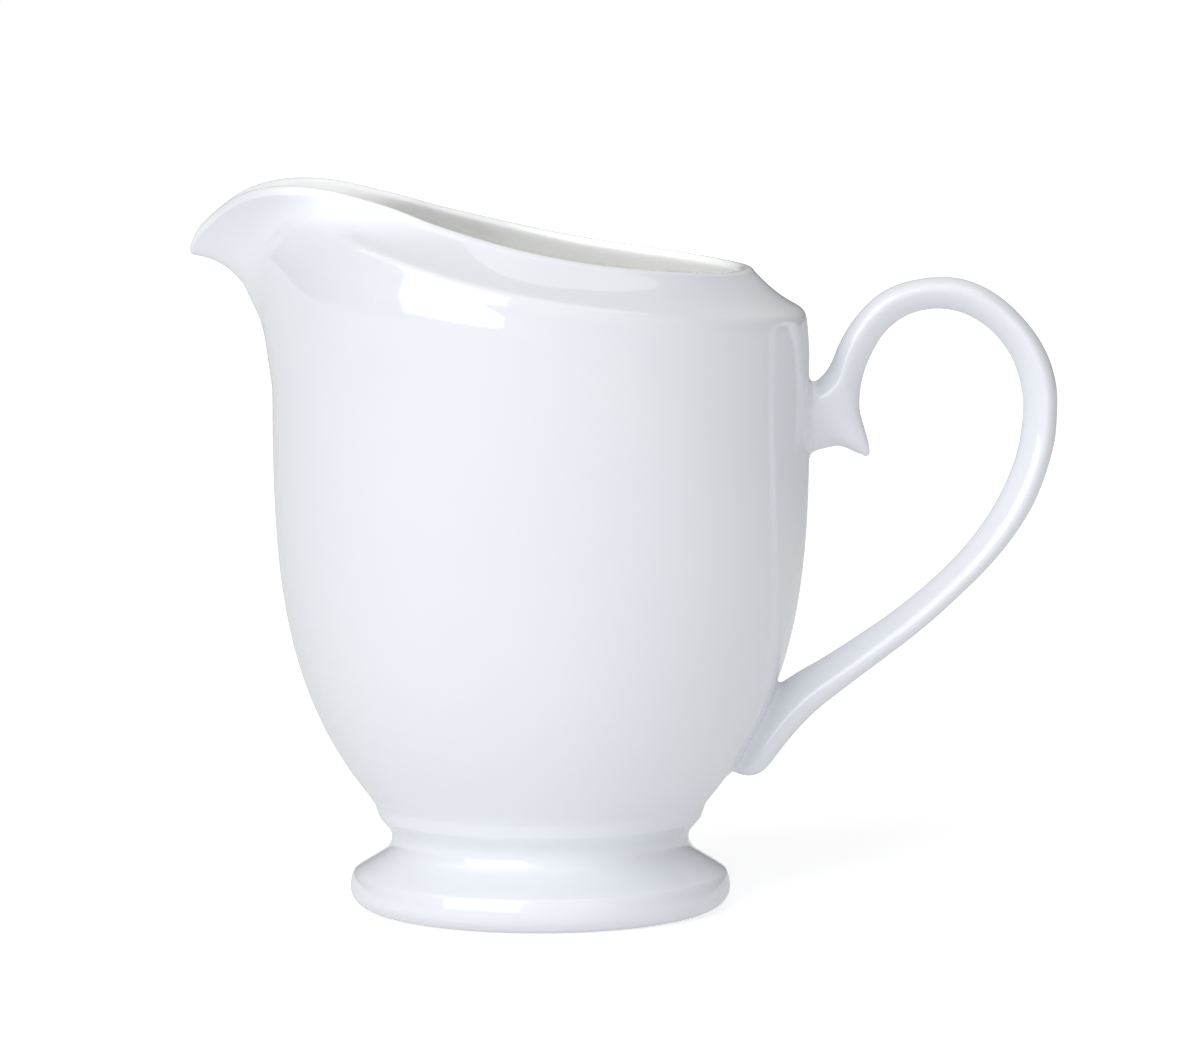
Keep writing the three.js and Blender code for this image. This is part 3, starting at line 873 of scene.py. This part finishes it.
def bare_clay(tree, place):
    """How bare the standing ring is of glaze, and the colour of its gritty clay."""
    split = tree.nodes.new("ShaderNodeSeparateXYZ")
    tree.links.new(place, split.inputs[0])
    bare = range_node(tree, split.outputs["Z"], BARE_BELOW * MM, GLAZED_ABOVE * MM, 1.0, 0.0)
    grit = range_node(tree, noise_node(tree, place, GRIT_GRAIN), *GRIT_RANGE, 0.0, 1.0)
    return bare, mix_node(tree, grit, CLAY_COLOUR, CLAY_DARK)


def glaze_material(name, glaze=GLAZE_COLOUR, specks=False, bare_ring=False):
    """Clear glaze over white porcelain, faintly uneven in tint, gloss and surface. The inside has
    painted light: a lighter, warmer colour that stands in for light coming through the thin wall.
    """
    material, tree, shader = new_material(name)
    place = place_node(tree)
    cloud = range_node(tree, noise_node(tree, place, CLOUD_GRAIN), *NOISE_RANGE, 0.0, 1.0)
    deep = tuple(channel * factor for channel, factor in zip(glaze, CLOUD_TINT))
    colour = mix_node(tree, cloud, glaze, deep)
    # painted light: the inside rows take the lighter, warmer inside colour
    colour = mix_node(tree, attribute_node(tree, "inner"), colour, INSIDE_PAINTED_LIGHT_COLOUR)
    edge = math_node(tree, "MULTIPLY", attribute_node(tree, "thin"), THIN_SHARE)
    colour = mix_node(tree, edge, colour, THIN_COLOUR)
    gloss = range_node(tree, noise_node(tree, place, GLOSS_GRAIN), *NOISE_RANGE, *ROUGHNESS)
    if specks:
        colour = mix_node(tree, speck_share(tree, place), colour, SPECK_COLOUR)
    if bare_ring:
        bare, clay = bare_clay(tree, place)
        colour = mix_node(tree, bare, colour, clay)
        gloss = math_node(tree, "MAXIMUM", gloss, math_node(tree, "MULTIPLY", bare, CLAY_ROUGH))
    tree.links.new(colour, shader.inputs["Base Color"])
    tree.links.new(gloss, shader.inputs["Roughness"])
    shader.inputs["IOR"].default_value = GLAZE_IOR
    swell = bump_node(tree, noise_node(tree, place, SWELL_GRAIN, 1.0), SWELL_HEIGHT)
    skin = bump_node(tree, noise_node(tree, place, PEEL_GRAIN, 1.0), PEEL_HEIGHT, swell)
    tree.links.new(skin, shader.inputs["Normal"])
    return material


# ------------------------------------------------------------------ studio

FLOOR_HALF = 4.0
FLOOR_WHITE = 0.85
FLOOR_GLOW = 0.5
# painted shade on the floor as the glaze reflects it: lighter near the jug, darker to the back right
FLOOR_PAINTED_SHADES = (0.56, 0.34)      # as the glaze reflects it: near the jug, and to the back right
FLOOR_SHADES_OVER = (0.05, 0.65)
FLOOR_FILL = 0.6
BACK_RIGHT = (0.8, 0.6, 0)


def mix_for_camera(tree, others, camera, output):
    """Shows the camera one shader, and reflections and light another."""
    light_path = tree.nodes.new("ShaderNodeLightPath")
    mix = tree.nodes.new("ShaderNodeMixShader")
    tree.links.new(light_path.outputs["Is Camera Ray"], mix.inputs["Fac"])
    tree.links.new(others, mix.inputs[1])
    tree.links.new(camera, mix.inputs[2])
    tree.links.new(mix.outputs[0], tree.nodes[output].inputs["Surface"])


def dot_node(tree, place, toward):
    node = tree.nodes.new("ShaderNodeVectorMath")
    node.operation = "DOT_PRODUCT"
    node.inputs[1].default_value = toward
    tree.links.new(place, node.inputs[0])
    return node.outputs["Value"]


def floor_material():
    """White paper. As the glaze reflects it, it has painted shade: greyer to the back right, as if
    the light fell off there.
    """
    material, tree, shader = new_material("floor_paper")
    shader.inputs["Base Color"].default_value = (FLOOR_WHITE, FLOOR_WHITE, FLOOR_WHITE, 1)
    shader.inputs["Roughness"].default_value = 1
    shader.inputs["Specular IOR Level"].default_value = 0
    shader.inputs["Emission Color"].default_value = (1, 1, 1, 1)
    shader.inputs["Emission Strength"].default_value = FLOOR_GLOW
    # painted shade: the reflected floor is greyer and glows less towards the back right
    away = dot_node(tree, place_node(tree), BACK_RIGHT)
    shade = range_node(tree, away, *FLOOR_SHADES_OVER, *FLOOR_PAINTED_SHADES)
    grey = tree.nodes.new("ShaderNodeBsdfDiffuse")
    tree.links.new(shade, grey.inputs["Color"])
    glow = tree.nodes.new("ShaderNodeEmission")
    tree.links.new(math_node(tree, "MULTIPLY", shade, FLOOR_FILL), glow.inputs["Strength"])
    reflected = tree.nodes.new("ShaderNodeAddShader")
    tree.links.new(grey.outputs[0], reflected.inputs[0])
    tree.links.new(glow.outputs[0], reflected.inputs[1])
    mix_for_camera(tree, reflected.outputs[0], shader.outputs[0], "Material Output")
    return material


def build_floor():
    mesh = bpy.data.meshes.new("floor")
    h = FLOOR_HALF
    mesh.from_pydata([(-h, -h, 0), (h, -h, 0), (h, h, 0), (-h, h, 0)], [], [(0, 1, 2, 3)])
    mesh.materials.append(floor_material())
    floor = bpy.data.objects.new("floor", mesh)
    bpy.context.scene.collection.objects.link(floor)


def aim(obj, place, target):
    obj.location = place
    obj.rotation_euler = (Vector(target) - Vector(place)).to_track_quat("-Z", "Y").to_euler()


def add_lamp(name, kind):
    lamp = bpy.data.objects.new(name, bpy.data.lights.new(name, kind))
    bpy.context.scene.collection.objects.link(lamp)
    return lamp


def direction(azimuth, elevation):
    """A unit vector. Azimuth is from the -Y direction, positive towards +X."""
    az, el = math.radians(azimuth), math.radians(elevation)
    return Vector((math.sin(az) * math.cos(el), -math.cos(az) * math.cos(el), math.sin(el)))


# Places in metres, directions as [azimuth, elevation] in degrees.
SUBJECT = Vector((AXIS_X, 0, 0.07))
KEY_FROM, KEY_STRENGTH, KEY_SPREAD = (-37, 30), 1.18, 50
LEFT_BOX_FROM, LEFT_BOX_AWAY = (-36, 27), 1.2
LEFT_BOX_SIZE, LEFT_BOX_RADIANCE = (1.106, 1.17), 2.6
TOP_BOX_AT = SUBJECT + Vector((-0.38, -0.3, 1.13))
TOP_BOX_SIZE, TOP_BOX_RADIANCE = (2.25, 1.2), 1.1
MOUTH_TARGETS = [Vector((AXIS_X + x, 0.034, 0.068)) for x in (-0.018, 0, 0.018)]
MOUTH_FROM, MOUTH_AWAY = (0, 45), 0.9
MOUTH_POWER, MOUTH_BEAM, MOUTH_SOFTNESS = 11, 3.2, 0.005


def add_key():
    """The main soft light. The softboxes give its reflection."""
    key = add_lamp("key", "SUN")
    key.data.energy = KEY_STRENGTH
    key.data.angle = math.radians(KEY_SPREAD)
    aim(key, direction(*KEY_FROM), (0, 0, 0))
    key.visible_glossy = False


def add_softbox(name, place, target, size, radiance):
    """A softbox that is seen only as a reflection in the glaze."""
    box = add_lamp(name, "AREA")
    box.data.shape = "RECTANGLE"
    box.data.size, box.data.size_y = size
    box.data.energy = radiance * math.pi * size[0] * size[1]
    aim(box, place, target)
    box.visible_diffuse = False
    box.visible_camera = False


def add_mouth_fill():
    """Three narrow soft beams through the mouth, onto the inside of the far wall."""
    for number, target in enumerate(MOUTH_TARGETS):
        spot = add_lamp(f"mouth_fill_{number}", "SPOT")
        spot.data.energy = MOUTH_POWER
        spot.data.spot_size = math.radians(MOUTH_BEAM)
        spot.data.spot_blend = 1
        spot.data.shadow_soft_size = MOUTH_SOFTNESS
        aim(spot, target + MOUTH_AWAY * direction(*MOUTH_FROM), target)
        spot.visible_glossy = False


def add_studio_lights():
    add_key()
    left = SUBJECT + LEFT_BOX_AWAY * direction(*LEFT_BOX_FROM)
    add_softbox("softbox_left", left, SUBJECT, LEFT_BOX_SIZE, LEFT_BOX_RADIANCE)
    below = TOP_BOX_AT - Vector((0, 0, 1))
    add_softbox("softbox_top", TOP_BOX_AT, below, TOP_BOX_SIZE, TOP_BOX_RADIANCE)
    add_mouth_fill()


# Pale cards round the jug, out of sight: [direction, narrowness, brightness].
ROOM_LIGHTS = [
    ((0, 0, 1), 2, 0.17),
    ((-1, 0, 0.25), 2, 0.25),
    ((1, 0, 0.25), 2, 0.24),
    ((0, -1, 0.25), 2, 1.11),
    ((0, 0.7, 0.7), 4, 0.8),
]


def build_world():
    """A pale room that is white where the camera looks."""
    world = bpy.data.worlds.new("studio")
    bpy.context.scene.world = world
    world.use_nodes = True
    tree = world.node_tree
    room = tree.nodes["Background"]
    room.inputs["Color"].default_value = (1, 1, 1, 1)
    place = tree.nodes.new("ShaderNodeTexCoord").outputs["Generated"]
    total = None
    for toward, narrowness, brightness in ROOM_LIGHTS:
        facing = dot_node(tree, place, Vector(toward).normalized())
        front = math_node(tree, "MAXIMUM", facing, 0.0)
        lobe = math_node(tree, "POWER", front, narrowness)
        share = math_node(tree, "MULTIPLY", lobe, brightness)
        total = share if total is None else math_node(tree, "ADD", total, share)
    tree.links.new(total, room.inputs["Strength"])
    white = tree.nodes.new("ShaderNodeBackground")
    white.inputs["Color"].default_value = (1, 1, 1, 1)
    mix_for_camera(tree, room.outputs[0], white.outputs[0], "World Output")


VIEW_DISTANCE = 0.9058
VIEW_ELEVATION = 6.033
VIEW_LENS, VIEW_SENSOR, VIEW_CLIP = 191.6, 36, 0.05
VIEW_TARGET = (AXIS_X + 0.00727, 0, 0.05613)


def build_camera():
    camera = bpy.data.cameras.new("view")
    camera.lens = VIEW_LENS
    camera.sensor_width = VIEW_SENSOR
    camera.clip_start = VIEW_CLIP
    obj = bpy.data.objects.new("view", camera)
    bpy.context.scene.collection.objects.link(obj)
    el = math.radians(VIEW_ELEVATION)
    place = Vector(VIEW_TARGET) + VIEW_DISTANCE * Vector((0, -math.cos(el), math.sin(el)))
    aim(obj, place, VIEW_TARGET)
    bpy.context.scene.camera = obj


# ------------------------------------------------------------------ assembly


def place_piece(obj, material, node):
    obj.data.materials.clear()
    obj.data.materials.append(material)
    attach(obj, "root")
    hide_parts(node)


body_glaze = glaze_material("body_glaze", specks=True)
foot_glaze = glaze_material("foot_glaze", bare_ring=True)
handle_glaze = glaze_material("handle_glaze")
slip_glaze = glaze_material("slip_glaze", SLIP_COLOUR)
upper = build_slip("upper_handle_slip_fillet", UPPER_SLIP_BOX)
lower = build_slip("lower_handle_slip_fillet", LOWER_SLIP_BOX)

place_piece(build_body(), body_glaze, "jug_body")
place_piece(build_foot(), foot_glaze, "pedestal_foot")
place_piece(build_foot_slip(), slip_glaze, "foot_slip_joint")
place_piece(build_handle(), handle_glaze, "handle")
place_piece(upper, slip_glaze, "upper_handle_slip_joint")
place_piece(lower, slip_glaze, "lower_handle_slip_joint")

build_floor()
build_world()
add_studio_lights()
build_camera()
bpy.context.scene.view_settings.view_transform = "Standard"
